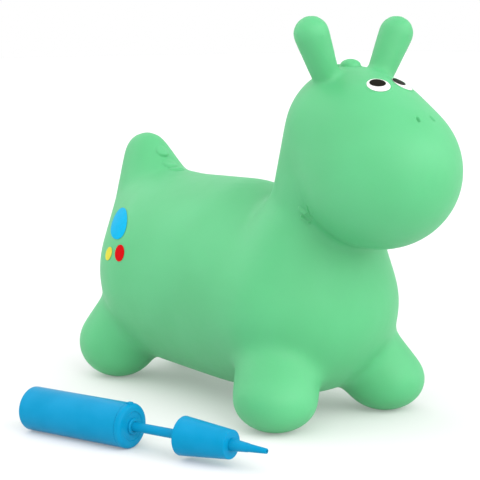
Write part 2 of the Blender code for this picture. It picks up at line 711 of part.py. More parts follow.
def pump_rod(material):
    """The hollow rod, which carries the air from the piston to the nozzle."""
    _, end = grip_heights()
    top = end - GRIP_END - SEAT_GAP
    bottom = rod_foot()
    profile = [(ROD_BORE, top), (ROD_RADIUS, top), (ROD_RADIUS, bottom), (ROD_BORE, bottom)]
    return turned("pump_rod", profile, ROD_STEPS, material)


def pump_cone_grip(material):
    """The conical grip: open at its wide rim, with a socket for the rod in its small end."""
    rim, end = grip_heights()
    slope = (GRIP_WIDE_RADIUS - GRIP_SMALL_RADIUS) / GRIP_LENGTH
    under = end - GRIP_END
    socket = ROD_RADIUS + SEAT_GAP
    socket_outer = socket + GRIP_SOCKET_WALL
    hole = SPIGOT_RADIUS + SEAT_GAP
    inner_top = GRIP_SMALL_RADIUS + slope * GRIP_END - GRIP_WALL
    profile = [
        (hole, end),
        (GRIP_SMALL_RADIUS - GRIP_EDGE, end),
        (GRIP_SMALL_RADIUS + slope * GRIP_EDGE, end - GRIP_EDGE),
        (GRIP_WIDE_RADIUS - slope * GRIP_EDGE, rim + GRIP_EDGE),
        (GRIP_WIDE_RADIUS - GRIP_EDGE / 2, rim),
        (GRIP_WIDE_RADIUS - GRIP_WALL, rim),
        (inner_top, under),
        (socket_outer, under),
        (socket_outer, under - GRIP_SOCKET_DEPTH),
        (socket, under - GRIP_SOCKET_DEPTH),
        (socket, under),
        (hole, under),
    ]
    return turned("pump_cone_grip", profile, GRIP_STEPS, material)


def pump_nozzle(material):
    """The nozzle: a spigot in the grip, then two tapers with a small step between them."""
    _, end = grip_heights()
    root = end + SEAT_GAP
    waist = root + NOZZLE_ROOT_LENGTH
    tip = waist + NOZZLE_TIP_LENGTH
    foot = end - GRIP_END + SEAT_GAP
    profile = [
        (NOZZLE_BORE, tip),
        (NOZZLE_TIP_RADIUS - NOZZLE_TIP_EDGE, tip),
        (NOZZLE_TIP_RADIUS, tip - NOZZLE_TIP_EDGE),
        (NOZZLE_WAIST_RADIUS - NOZZLE_STEP, waist),
        (NOZZLE_WAIST_RADIUS, waist),
        (NOZZLE_ROOT_RADIUS, root),
        (SPIGOT_RADIUS, root),
        (SPIGOT_RADIUS, foot),
        (NOZZLE_BORE, foot),
    ]
    return turned("pump_nozzle", profile, NOZZLE_STEPS, material)


def pump():
    """The pump's pieces, turned about +Z from the barrel's closed end to the nozzle."""
    blue = finish("pump_blue", PUMP_BLUE, SATIN)
    pale = finish("piston_white", PLUG_WHITE, SATIN)
    black = finish("seal_black", SEAL_BLACK, SOFT)
    return [
        pump_barrel(blue),
        pump_end_cap(blue),
        pump_cup_seal(black),
        pump_piston(pale),
        pump_valve_disc(black),
        pump_valve_retainer(pale),
        pump_rod(blue),
        pump_cone_grip(blue),
        pump_nozzle(blue),
    ]


def holder(name, children, place=Matrix.Identity(4)):
    """An empty that carries pieces, which keep their own local places."""
    empty = bpy.data.objects.new(name, None)
    PARTS.objects.link(empty)
    empty.matrix_world = place
    for child in children:
        child.parent = empty
    return empty


def centre_set(root):
    """Move the whole set so that its box stands centred on the origin."""
    bpy.context.view_layer.update()
    graph = bpy.context.evaluated_depsgraph_get()
    corners = []
    for obj in PARTS.objects:
        if obj.type == "MESH":
            seen = obj.evaluated_get(graph)
            corners += [seen.matrix_world @ vert.co for vert in seen.data.vertices]
    for axis in range(2):
        low = min(corner[axis] for corner in corners)
        high = max(corner[axis] for corner in corners)
        root.location[axis] -= (low + high) / 2


def build():
    """Build the animal and the pump, lay the pump down and centre the set."""
    toy = holder("animal", animal())
    lie = Matrix.Rotation(PUMP_HEADING, 4, "Z") @ Matrix.Rotation(FULL_TURN / 4, 4, "Y")
    axis = holder("pump_axis", pump(), Matrix.Translation((PUMP_X, PUMP_Y, CAP_RADIUS)) @ lie)
    centre_set(holder("set", [toy, axis]))


build()
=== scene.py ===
"""Fine surfaces, finishes and studio for the blow-up bouncy ride-on animal and its hand pump.

The animal's skin is blown over round masses, as a moulding is, then dented, embossed,
walled and pierced for its valve. The pump's pieces are turned. Everything is in metres.
"""

import json
import math

import bpy
from bpy.props import FloatProperty, FloatVectorProperty, IntProperty, PointerProperty
from bpy.types import Operator, Panel, PropertyGroup
from mathutils import Matrix, Vector, geometry


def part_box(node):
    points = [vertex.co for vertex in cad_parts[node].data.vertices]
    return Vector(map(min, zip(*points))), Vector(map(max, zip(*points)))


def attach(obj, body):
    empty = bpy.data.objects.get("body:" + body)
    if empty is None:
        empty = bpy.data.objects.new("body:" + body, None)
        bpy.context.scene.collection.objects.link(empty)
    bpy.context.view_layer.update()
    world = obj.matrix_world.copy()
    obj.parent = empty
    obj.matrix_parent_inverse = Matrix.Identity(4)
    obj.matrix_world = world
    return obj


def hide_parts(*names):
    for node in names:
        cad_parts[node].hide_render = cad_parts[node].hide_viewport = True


bl_info = {
    "name": "Bouncy Animal Set",
    "version": (1, 0, 0),
    "blender": (4, 5, 0),
    "location": "3D View > Sidebar > Bouncy Animal",
    "description": "Models and finishes a blow-up ride-on animal with its hand pump",
    "category": "Mesh",
}

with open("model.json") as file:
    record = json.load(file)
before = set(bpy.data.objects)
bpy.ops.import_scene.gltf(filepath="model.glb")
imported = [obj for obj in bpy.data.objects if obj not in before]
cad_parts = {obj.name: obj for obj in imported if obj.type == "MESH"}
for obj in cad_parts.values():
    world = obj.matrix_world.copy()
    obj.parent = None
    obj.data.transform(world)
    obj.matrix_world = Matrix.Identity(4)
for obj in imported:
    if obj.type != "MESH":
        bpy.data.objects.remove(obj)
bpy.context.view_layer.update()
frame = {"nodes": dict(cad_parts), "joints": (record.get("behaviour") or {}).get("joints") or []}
GRIP_TURN = next(joint for joint in frame["joints"] if joint["name"] == "grip_turn")

FULL_TURN = 2 * math.pi
SIDES = {-1: "right", 1: "left"}
LEFT, UP, DOWN = Vector((0, 1, 0)), Vector((0, 0, 1)), Vector((0, 0, -1))
MERGE_DISTANCE = 0.00001
SEAT_GAP = 0.0003

# Fineness of the balls, ovals, cutters and rounded edges
BALL_SEGMENTS, BALL_RINGS = 64, 40
ROUND_STEPS = 64
PRINT_CUTS = 5
ARC_STEPS = 10
EDGE_STEPS = 3

# Rounding of small edges
MOULDED_EDGE = 0.0004
SEAT_EDGE = 0.0003
PLUG_EDGE = 0.0002

# Angles in degrees past which an edge stays sharp
SKIN_CREASE, PRINT_CREASE, PUMP_CREASE, VALVE_CREASE, BEVEL_CREASE = 50, 60, 30, 35, 38

# Steps of refining round a detail: how far in the detail's radii, and how many rounds
CREST_REFINING = ((1.4, 2),)
NOSTRIL_REFINING = ((3, 2), (2, 1))
MOUTH_REFINING = ((5, 2), (2.5, 1))
RIM_REFINING = ((3, 2),)

# How flat a tail scale is before its edge turns down
SCALE_FLATNESS = 8

# Surface patterns: features to the metre, strength and height
SLOW_WAVES = (22, 0.12, 0.004)
SKIN_GRAIN = (750, 0.1, 0.0002)
FLOW_MARKS = (60, 0.06, 0.0012)
MOULD_GRAIN = (1400, 0.07, 0.0001)
RUBBER_GRAIN = (900, 0.15, 0.0002)


def length(label, about, default):
    """A property that holds a length."""
    return FloatProperty(name=label, description=about, default=default, unit="LENGTH", precision=4)


def number(label, about, default):
    """A property that holds a plain number."""
    return FloatProperty(name=label, description=about, default=default)


def angle(label, about, degrees):
    """A property that holds an angle."""
    return FloatProperty(name=label, description=about, default=math.radians(degrees), unit="ROTATION")


def place(label, about, default):
    """A property that holds a point."""
    return FloatVectorProperty(
        name=label, description=about, default=default, unit="LENGTH", subtype="TRANSLATION", precision=4
    )


def colour(label, about, default):
    """A property that holds a colour."""
    return FloatVectorProperty(
        name=label, description=about, default=default, min=0, max=1, size=3, subtype="COLOR"
    )


def count(label, about, default):
    """A property that holds a number of things."""
    return IntProperty(name=label, description=about, default=default, min=1)


# Round masses that the skin is blown over: centre and half sizes
MASSES = {
    "rump": ((-0.1666, 0, 0.153), (0.1217, 0.1254, 0.1298)),
    "waist": ((-0.043, 0, 0.1518), (0.112, 0.1208, 0.1342)),
    "chest": ((0.0699, 0, 0.1381), (0.1088, 0.1244, 0.1124)),
    "neck": ((0.0988, 0, 0.2534), (0.0639, 0.0639, 0.0639)),
    "crown": ((0.1502, 0, 0.3543), (0.0723, 0.084, 0.0813)),
    "brow": ((0.1803, 0, 0.3416), (0.0803, 0.0861, 0.0854)),
    "muzzle": ((0.199, 0, 0.3139), (0.1049, 0.0911, 0.0935)),
    "tail_root": ((-0.2399, 0, 0.2279), (0.0608, 0.0632, 0.0608)),
    "tail_tip": ((-0.2676, 0, 0.2994), (0.0348, 0.0313, 0.0348)),
}

# Masses that are stretched together
SPANS = (
    ("rump", "waist"),
    ("waist", "chest"),
    ("chest", "neck"),
    ("neck", "crown"),
    ("crown", "brow", "muzzle"),
    ("rump", "tail_root"),
    ("tail_root", "tail_tip"),
)

# Left corner of the mouth: points of its crease and of the two folds behind it
MOUTH = {
    "crease": ((0.1525, 0.0701, 0.2718), (0.1481, 0.0628, 0.2615), (0.1498, 0.0607, 0.2575)),
    "upper_fold": ((0.1352, 0.0654, 0.2685), (0.1433, 0.0632, 0.2638)),
    "lower_fold": ((0.1352, 0.0623, 0.2583), (0.1436, 0.0589, 0.2527)),
}

# Rump spots: place in front of the flank, half sizes and lean in degrees
SPOTS = {
    "blue": ((-0.1896, 0, 0.2213), (0.0307, 0.0179, 1), 60),
    "yellow": ((-0.1886, 0, 0.1813), (0.0085, 0.01, 1), 41),
    "red": ((-0.1612, 0, 0.1854), (0.0113, 0.0101, 1), 24),
}


class SkinShape(PropertyGroup):
    """Feet, ears, wall and fineness of the skin, and the round masses of `MASSES`."""

    front_foot: place("Front foot", "Centre of the left front foot", (0.12, 0.0899, 0.0389))
    front_foot_radius: length("Front foot radius", "Radius of a front foot", 0.0525)
    front_hip: place("Front hip", "Upper end of the left front leg", (0.0861, 0.05394, 0.0957))
    rear_foot: place("Rear foot", "Centre of the left rear foot", (-0.245, 0.0665, 0.0485))
    rear_foot_radius: length("Rear foot radius", "Radius of a rear foot", 0.0555)
    rear_hip: place("Rear hip", "Upper end of the left rear leg", (-0.2032, 0.0399, 0.1157))
    sole_squash: length("Sole squash", "How far a foot is pressed flat", 0.002)
    ear_root: place("Ear root", "Centre of the left ear's root", (0.154, 0.0466, 0.4296))
    ear_root_radius: length("Ear root radius", "Radius of an ear's root", 0.0171)
    ear_tip: place("Ear tip", "Centre of the left ear's tip", (0.1555, 0.0676, 0.472))
    ear_tip_radius: length("Ear tip radius", "Radius of an ear's tip", 0.021)
    wall: length("Wall", "Thickness of the skin", 0.0022)
    inside_detail: number("Inside detail", "Share of its faces that the inside keeps", 0.4)
    cell: length("Cell", "Size of the cells the skin is melted in", 0.0042)
    body_passes: count("Body smoothing", "Passes that round the body's creases", 34)
    ear_passes: count("Ear smoothing", "Passes that round the ears' roots", 5)


for mass, (centre, size) in MASSES.items():
    label = mass.replace("_", " ").capitalize()
    SkinShape.__annotations__[mass] = place(label, "Centre of this round mass", centre)
    SkinShape.__annotations__[f"{mass}_size"] = place(f"{label} size", "Half sizes of this round mass", size)


class SkinRelief(PropertyGroup):
    """Crest bumps, nostrils, mouth creases and eye rims, moulded in the skin."""

    head_bump_x: length("Head bump", "Place of the head's bump", 0.1486)
    nape_bump_x: length("Nape bump", "Place of the nape's bump", 0.1255)
    head_bump_radius: length("Head bump radius", "Radius of the head's bump", 0.0125)
    nape_bump_radius: length("Nape bump radius", "Radius of the nape's bump", 0.0086)
    tail_bump_x: length("Tail bump", "Place of the tail's highest bump", -0.2308)
    tail_bump_step: length("Tail bump step", "Step between the tail's bumps", 0.0158)
    tail_bump_radius: length("Tail bump radius", "Radius of the tail's bumps", 0.0105)
    tail_bumps: count("Tail bumps", "Number of bumps down the tail", 3)
    head_bump_height: length("Head bump height", "Height of the head's bump", 0.008)
    nape_bump_height: length("Nape bump height", "Height of the nape's bump", 0.0055)
    tail_bump_height: length("Tail bump height", "Height of the tail's bumps", 0.0048)
    nostril: place("Nostril", "Middle of the left nostril", (0.2731, 0.0111, 0.377))
    nostril_drop: place("Nostril drop", "Run of the left nostril's dent", (0.0032, 0.0008, -0.0028))
    nostril_radius: length("Nostril radius", "Half width of a nostril", 0.003)
    nostril_depth: length("Nostril depth", "Depth of a nostril", 0.0034)
    mouth_radius: length("Mouth crease radius", "Half width of the crease", 0.0024)
    mouth_depth: length("Mouth crease depth", "Depth of the crease", 0.003)
    fold_radius: length("Mouth fold radius", "Half width of a fold", 0.0031)
    fold_height: length("Mouth fold height", "Height of a fold", 0.004)
    rim_gap: length("Eye rim gap", "Distance from the print to its moulded rim", 0.0016)
    rim_radius: length("Eye rim radius", "Half width of the moulded rim", 0.0016)
    rim_height: length("Eye rim height", "Height of the moulded rim", 0.0008)


for line, points in MOUTH.items():
    for step, point in enumerate(points, 1):
        label = f"Mouth {line.replace('_', ' ')} {step}"
        SkinRelief.__annotations__[f"{line}_{step}"] = place(label, "Point of this line", point)


class PrintShape(PropertyGroup):
    """Printed eyes, and the rump spots of `SPOTS`."""

    film: length("Film", "Thickness of the print", 0.0002)
    lift: length("Lift", "Distance from the skin to the print", 0.0004)
    reach: length("Reach", "How far off a print is laid out", 0.08)
    eye: place("Eye", "Middle of the left eye's print", (0.2155, 0.0187, 0.4114))
    eye_size: place("Eye size", "Half sizes of the white", (0.0132, 0.0139, 1))
    pupil_size: place("Pupil size", "Half sizes of the pupil", (0.0078, 0.0099, 1))
    eye_pitch: angle("Eye pitch", "How far the eyes look up", 63)
    eye_yaw: angle("Eye yaw", "How far the eyes look outwards", 10)
    eye_slant: angle("Eye slant", "How far an eye leans", 6)
    pupil_rise: length("Pupil rise", "How high the pupil sits in the white", 0.0032)
    pupil_draw_in: length("Pupil draw-in", "How far the pupil sits inwards", 0.0022)
    glance: length("Glance", "How far both pupils look to the animal's right", 0.0012)


for spot, (centre, size, lean) in SPOTS.items():
    label = f"{spot.capitalize()} spot"
    PrintShape.__annotations__[f"{spot}_spot"] = place(label, "Place of this spot", centre)
    PrintShape.__annotations__[f"{spot}_spot_size"] = place(f"{label} size", "Half sizes of this spot", size)
    PrintShape.__annotations__[f"{spot}_spot_lean"] = angle(f"{label} lean", "How far this spot leans", lean)


class ValveShape(PropertyGroup):
    """The valve under the belly."""

    valve_x: length("Valve place", "Place of the valve along the belly", -0.06)
    pad_height: length("Pad height", "Height of the pad's lower face", 0.0178)
    pad_radius: length("Pad radius", "Radius of the skin's thick pad", 0.019)
    pad: length("Pad", "Thickness of the pad", 0.008)
    seat_radius: length("Seat radius", "Radius of the ring's waist", 0.009)
    seat_bore: length("Seat bore", "Radius of the ring's bore", 0.0065)
    flange_radius: length("Flange radius", "Radius of the ring's flanges", 0.014)
    flange: length("Flange", "Thickness of a flange", 0.0014)
    head_radius: length("Plug head radius", "Radius of the plug's head", 0.0105)
    head: length("Plug head", "Thickness of the plug's head", 0.0018)
    tip_radius: length("Plug tip radius", "Radius of the plug's tip", 0.0055)
    stem: length("Plug stem", "Length of the plug's stem", 0.012)
    core_radius: length("Plug core radius", "Radius of the hollow in the stem", 0.0035)
    core: length("Plug core", "Depth of the hollow in the stem", 0.009)


class PumpShape(PropertyGroup):
    """The hand pump, measured along its axis from the barrel's closed end."""

    barrel_radius: length("Barrel radius", "Radius of the barrel", 0.0262)
    barrel_wall: length("Barrel wall", "Thickness of the barrel's wall", 0.0023)
    barrel: length("Barrel", "Length of the barrel up to the cap", 0.1465)
    end_round: length("End round", "Rounding of the closed end", 0.0042)
    neck_step: length("Neck step", "Step at the barrel's mouth", 0.0012)
    neck: length("Neck", "Length of the stepped mouth", 0.0045)
    cap_radius: length("Cap radius", "Radius of the cap", 0.0265)
    cap: length("Cap", "Length of the cap", 0.008)
    cap_face: length("Cap face", "Thickness of the cap's face", 0.0025)
    cap_round: length("Cap round", "Rounding of the cap's edge", 0.005)
    ring_radius: length("Ring radius", "Radius of the step on the cap's face", 0.0165)
    ring_step: length("Ring step", "Depth of the step on the cap's face", 0.0009)
    boss_radius: length("Boss radius", "Radius of the boss round the rod", 0.0095)
    boss: length("Boss", "Height of the boss", 0.0022)
    lug: place("Lug", "Height, width and length of the cap's lug", (0.0013, 0.007, 0.0055))
    rod_radius: length("Rod radius", "Radius of the rod", 0.0055)
    rod_bore: length("Rod bore", "Radius of the rod's bore", 0.003)
    rod_clearance: length("Rod clearance", "Clearance of the rod in the cap", 0.0005)
    rod_showing: length("Rod showing", "Length of rod between cap and grip", 0.0715)
    grip: length("Grip", "Length of the grip", 0.066)
    grip_wide: length("Grip rim", "Radius of the grip's wide rim", 0.0226)
    grip_small: length("Grip end", "Radius of the grip's small end", 0.0165)
    grip_wall: length("Grip wall", "Thickness of the grip's wall", 0.002)
    grip_end: length("Grip end wall", "Thickness of the grip's end", 0.0025)
    grip_edge: length("Grip edge", "Rounding of the grip's edges", 0.0007)
    socket_wall: length("Socket wall", "Thickness of the socket's wall", 0.0022)
    socket: length("Socket", "Depth of the rod's socket", 0.014)
    nozzle_root: length("Nozzle root", "Radius of the nozzle at the grip", 0.0072)
    nozzle_waist: length("Nozzle waist", "Radius of the nozzle at its step", 0.0051)
    nozzle_tip: length("Nozzle tip", "Radius of the nozzle's tip", 0.003)
    nozzle_step: length("Nozzle step", "Depth of the step between the tapers", 0.0003)
    spigot_radius: length("Spigot radius", "Radius of the spigot in the grip", 0.0046)
    nozzle_root_length: length("Nozzle root length", "Length of the first taper", 0.022)
    nozzle_tip_length: length("Nozzle tip length", "Length of the second taper", 0.0245)
    nozzle_bore: length("Nozzle bore", "Radius of the nozzle's bore", 0.0016)
    nozzle_edge: length("Nozzle edge", "Rounding of the nozzle's tip", 0.0006)
    steps: count("Steps", "Steps round a turned piece", 96)


class Finishes(PropertyGroup):
    """Colours of the set."""

    skin: colour("Skin", "Green of the soft skin", (0.078, 0.395, 0.162))
    skin_pale: colour("Pale skin", "Paler green where the skin is stretched", (0.088, 0.425, 0.18))
    seat: colour("Seat", "Green of the valve's ring", (0.07, 0.36, 0.145))
    white: colour("Eye white", "White of the eyes", (0.78, 0.78, 0.75))
    pupil: colour("Pupil", "Dark of the pupils", (0.008, 0.007, 0.004))
    blue_spot: colour("Blue spot", "Blue of the big spot", (0.0, 0.36, 0.62))
    yellow_spot: colour("Yellow spot", "Yellow of the small spot", (0.6, 0.56, 0.05))
    red_spot: colour("Red spot", "Red of the small spot", (0.52, 0.0, 0.002))
    pump: colour("Pump", "Blue of the pump", (0.0, 0.22, 0.41))
    plug: colour("Plug", "White of the plug and piston", (0.8, 0.8, 0.78))
    seal: colour("Seal", "Black of the rubber seals", (0.025, 0.025, 0.025))


class Studio(PropertyGroup):
    """Camera, lights and floor, placed from the floor point below the animal's middle."""

    camera: place("Camera", "Where the camera stands", (1.52665, -1.26985, 0.48985))
    azimuth: angle("Azimuth", "How far round the camera has gone", 51.33)
    elevation: angle("Elevation", "How far the camera looks down", 8.03)
    lens: number("Lens", "Focal length in millimetres", 118.03)
    floor: length("Floor", "Side of the floor", 30.0)
    floor_colour: colour("Floor colour", "Colour of the floor", (0.6, 0.6, 0.6))
    floor_glow: number("Floor glow", "Strength of the floor's glow", 0.2)
    sky: number("Sky", "Strength of the light from all round", 1.0)
    lamps: number("Lamps", "Strength of all the lamps", 1.0)
    softness: angle("Softness", "How wide the lights look", 50)


def settings(name):
    """The property group of that name on the scene."""
    return getattr(bpy.context.scene, f"bouncy_{name}")


def only(*objects):
    """Select just these objects and make the first one active."""
    bpy.ops.object.select_all(action="DESELECT")
    for obj in objects:
        obj.select_set(True)
    bpy.context.view_layer.objects.active = objects[0]


def editing(obj, kind="VERT", action="SELECT"):
    """Open an object's mesh, with all of it selected unless the action says otherwise."""
    only(obj)
    bpy.ops.object.mode_set(mode="EDIT")
    bpy.ops.mesh.select_mode(type=kind)
    bpy.ops.mesh.select_all(action=action)


def closed():
    """Leave edit mode."""
    bpy.ops.object.mode_set(mode="OBJECT")


def modified(obj, kind, **values):
    """Add a modifier with these values and make it part of the mesh."""
    only(obj)
    step = obj.modifiers.new(kind.lower(), kind)
    for key, value in values.items():
        setattr(step, key, value)
    bpy.ops.object.modifier_apply(modifier=step.name)
    return obj


def named(obj, name):
    """Name an object and its mesh."""
    obj.name = name
    obj.data.name = name
    return obj


def joined(name, objects):
    """Several objects made one."""
    only(*objects)
    bpy.ops.object.join()
    return named(objects[0], name)


def laid(obj, matrix):
    """Put an object in its place, and keep the place in its mesh."""
    only(obj)
    obj.matrix_world = matrix @ obj.matrix_world
    bpy.ops.object.transform_apply(location=True, rotation=True, scale=True)
    return obj


def smooth(obj, degrees):
    """Shade an object smooth, apart from its sharp edges."""
    only(obj)
    bpy.ops.object.shade_smooth_by_angle(angle=math.radians(degrees))


def finished(obj, finish, body, slot, *nodes):
    """Give a piece its finish and let it ride in place of the nodes it stands for."""
    obj.data.materials.clear()
    obj.data.materials.append(finish)
    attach(obj, body)
    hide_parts(*nodes)


def animal_place():
    """The floor point below the animal's middle, found from its valve."""
    low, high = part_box("valve_seat")
    middle = (low + high) / 2
    return Matrix.Translation((middle.x - settings("valve").valve_x, middle.y, 0))


def grip_rim(shape):
    """Where the grip's rim is on the pump's axis."""
    return shape.barrel + shape.cap + shape.rod_showing


def pump_place():
    """The matrix that lays a piece, turned about +Z, on the pump's axis."""
    axis = Vector(GRIP_TURN["axis"]).normalized()
    start = Vector(GRIP_TURN["pos_m"]) - axis * grip_rim(settings("pump"))
    lie = Matrix.Rotation(math.atan2(axis.y, axis.x), 4, "Z") @ Matrix.Rotation(FULL_TURN / 4, 4, "Y")
    return Matrix.Translation(start) @ lie


def material(name, base, roughness, **sockets):
    """A Principled material. `sockets` names further values of the shader."""
    made = bpy.data.materials.new(name)
    made.use_nodes = True
    shader = made.node_tree.nodes["Principled BSDF"]
    shader.inputs["Base Color"].default_value = (*base, 1)
    shader.inputs["Roughness"].default_value = roughness
    for key, value in sockets.items():
        shader.inputs[key.replace("_", " ")].default_value = value
    return made


def noise(made, scale, detail=2):
    """A noise pattern on the piece's own coordinates, with so many features to the metre."""
    nodes, links = made.node_tree.nodes, made.node_tree.links
    where = nodes.get("Where") or nodes.new("ShaderNodeTexCoord")
    where.name = "Where"
    pattern = nodes.new("ShaderNodeTexNoise")
    pattern.inputs["Scale"].default_value = scale
    pattern.inputs["Detail"].default_value = detail
    links.new(where.outputs["Object"], pattern.inputs["Vector"])
    return pattern


def tinted(base, gain, lift=0):
    """A colour made brighter or darker."""
    return tuple(value * gain + lift for value in base)


def varied_colour(made, first, second, scale):
    """Let the base colour drift between two colours."""
    nodes, links = made.node_tree.nodes, made.node_tree.links
    ramp = nodes.new("ShaderNodeValToRGB")
    for stop, position, base in zip(ramp.color_ramp.elements, (0.35, 0.65), (first, second)):
        stop.position = position
        stop.color = (*base, 1)
    links.new(noise(made, scale).outputs["Fac"], ramp.inputs["Fac"])
    links.new(ramp.outputs["Color"], nodes["Principled BSDF"].inputs["Base Color"])


def varied_roughness(made, scale, low, high):
    """Let the roughness drift between two values."""
    nodes, links = made.node_tree.nodes, made.node_tree.links
    span = nodes.new("ShaderNodeMapRange")
    span.inputs["To Min"].default_value = low
    span.inputs["To Max"].default_value = high
    links.new(noise(made, scale, detail=4).outputs["Fac"], span.inputs["Value"])
    links.new(span.outputs["Result"], nodes["Principled BSDF"].inputs["Roughness"])


def grained(made, *layers):
    """Add bump patterns, one over the other."""
    nodes, links = made.node_tree.nodes, made.node_tree.links
    last = None
    for scale, strength, height in layers:
        bump = nodes.new("ShaderNodeBump")
        bump.inputs["Strength"].default_value = strength
        bump.inputs["Distance"].default_value = height
        links.new(noise(made, scale, detail=3).outputs["Fac"], bump.inputs["Height"])
        if last:
            links.new(last.outputs["Normal"], bump.inputs["Normal"])
        last = bump
    links.new(last.outputs["Normal"], nodes["Principled BSDF"].inputs["Normal"])


def soft_plastic(name, first, second):
    """The skin's soft plastic: matt, faintly waxy, with a fine grain and slow waves."""
    made = material(
        name,
        first,
        roughness=0.5,
        Subsurface_Weight=0.25,
        Subsurface_Radius=(0.4, 1.0, 0.55),
        Subsurface_Scale=0.006,
        Specular_IOR_Level=0.35,
    )
    varied_colour(made, first, second, scale=9)
    varied_roughness(made, scale=60, low=0.44, high=0.56)
    grained(made, SLOW_WAVES, SKIN_GRAIN)
    return made


def hard_plastic(name, base):
    """Moulded hard plastic with a faint flow pattern and a fine grain."""
    made = material(
        name, base, roughness=0.3, Specular_IOR_Level=0.06, Subsurface_Weight=0.06, Subsurface_Scale=0.003
    )
    varied_colour(made, base, tinted(base, 1.07, 0.004), scale=30)
    varied_roughness(made, scale=140, low=0.25, high=0.36)
    grained(made, FLOW_MARKS, MOULD_GRAIN)
    return made


def ink(name, base):
    """Printed ink, which takes the grain of the skin below it."""
    made = material(name, base, roughness=0.42, Specular_IOR_Level=0.03)
    varied_colour(made, tinted(base, 0.94), base, scale=160)
    varied_roughness(made, scale=300, low=0.36, high=0.48)
    grained(made, SKIN_GRAIN)
    return made


def rubber(name, base):
    """Black rubber with a dusty bloom."""
    made = material(name, base, roughness=0.6)
    varied_colour(made, base, tinted(base, 1.6, 0.01), scale=220)
    varied_roughness(made, scale=400, low=0.52, high=0.7)
    grained(made, RUBBER_GRAIN)
    return made


def hull(*balls):
    """A closed hull stretched round some balls, each with its centre and half sizes."""
    made = []
    for centre, radii in balls:
        bpy.ops.mesh.primitive_uv_sphere_add(
            segments=BALL_SEGMENTS, ring_count=BALL_RINGS, radius=1, location=centre, scale=radii
        )
        made.append(bpy.context.object)
    obj = laid(joined("hull", made), Matrix.Identity(4))
    editing(obj)
    bpy.ops.mesh.convex_hull()
    closed()
    return obj


def across(point, side):
    """A point on the left side, or its twin on the right."""
    return Vector((point[0], side * point[1], point[2]))


def melted(obj, cell, passes):
    """Melt overlapping hulls together and round the creases between them."""
    modified(obj, "REMESH", mode="VOXEL", voxel_size=cell)
    modified(obj, "SMOOTH", iterations=passes)


def blown_form():
    """The animal's outer surface, about the floor point below its middle."""
    shape = settings("skin")
    hulls = [
        hull(*((getattr(shape, mass), getattr(shape, f"{mass}_size")) for mass in span)) for span in SPANS
    ]
    for leg in ("front", "rear"):
        foot, radius, hip = (getattr(shape, f"{leg}_{part}") for part in ("foot", "foot_radius", "hip"))
        for side in SIDES:
            sole = (across(foot, side), (radius, radius, foot[2] + shape.sole_squash))
            hulls.append(hull(sole, (across(hip, side), (radius,) * 3)))
    form = joined("blown_form", hulls)
    melted(form, shape.cell, shape.body_passes)
    ears = [form]
    for side in SIDES:
        root = (across(shape.ear_root, side), (shape.ear_root_radius,) * 3)
        ears.append(hull(root, (across(shape.ear_tip, side), (shape.ear_tip_radius,) * 3)))
    form = joined("blown_form", ears)
    melted(form, shape.cell, shape.ear_passes)
    editing(form)
    bpy.ops.mesh.bisect(plane_co=(0, 0, 0), plane_no=(0, 0, 1), use_fill=True, clear_inner=True)
    closed()
    return form


def refined(form, distance, radius, steps):
    """Split the faces near a detail so that they can carry it. A step is how far and how many rounds."""
    for reach, rounds in steps:
        for _ in range(rounds):
            editing(form, "FACE", "DESELECT")
            closed()
            for face in form.data.polygons:
                face.select = distance(face.center) < reach * radius
            bpy.ops.object.mode_set(mode="EDIT")
            bpy.ops.mesh.subdivide(number_cuts=1, smoothness=1)
            closed()


def relief(form, name, height, weight):
    """Raise the skin by `height` times each vertex's weight, or sink it where `height` is negative."""
    group = form.vertex_groups.new(name=name)
    for vertex in form.data.vertices:
        value = weight(vertex.co)
        if value > 0:
            group.add([vertex.index], min(value, 1), "REPLACE")
    modified(form, "DISPLACE", strength=height, mid_level=0, vertex_group=name)
    form.vertex_groups.remove(form.vertex_groups[name])


def dome(distance, radius):
    """Height share of a round bump at a distance from its middle."""
    return math.sqrt(1 - (distance / radius) ** 2) if distance < radius else 0


def bell(distance, radius):
    """Height share of a soft ridge at a distance from its crest."""
    return (1 + math.cos(math.pi * distance / radius)) / 2 if distance < radius else 0


def landing(form, start, aim):
    """Where a ray meets the form, and the surface's normal there."""
    found, point, normal, _ = form.ray_cast(start, aim)
    if not found:
        raise RuntimeError(f"no skin in front of {tuple(start)}")
    return point, normal


def scale_edge(offset, slope, radius):
    """Height share of a scale that rises down the slope and ends in a round edge."""
    reach = offset.length / radius
    return (1 - reach**SCALE_FLATNESS) * (1 + offset.dot(slope) / radius) / 2 if reach < 1 else 0


def crest_bumps(form):
    """The two bumps on the head and the row of overlapping ones down the tail."""
    detail, shape = settings("relief"), settings("skin")
    above = shape.ear_tip[2] + shape.ear_tip_radius
    head = []
    for name in ("head", "nape"):
        x, radius, height = (getattr(detail, f"{name}_bump_{size}") for size in ("x", "radius", "height"))
        head.append((landing(form, (x, 0, above), DOWN)[0], radius, height))
    tail = []
    for row in range(detail.tail_bumps):
        point, facing = landing(form, (detail.tail_bump_x + row * detail.tail_bump_step, 0, above), DOWN)
        tail.append((point, LEFT.cross(facing).normalized()))
    marks = [(centre, radius) for centre, radius, _ in head]
    marks += [(centre, detail.tail_bump_radius) for centre, _ in tail]
    most = max(height for _, _, height in head)

    def radii_away(point):
        return min((point - centre).length / radius for centre, radius in marks)

    def head_weight(point):
        return max(dome((point - centre).length, radius) * height / most for centre, radius, height in head)

    def tail_weight(point):
        return max(scale_edge(point - centre, slope, detail.tail_bump_radius) for centre, slope in tail)

    refined(form, radii_away, 1, CREST_REFINING)
    relief(form, "head_crest", most, head_weight)
    relief(form, "tail_crest", detail.tail_bump_height, tail_weight)


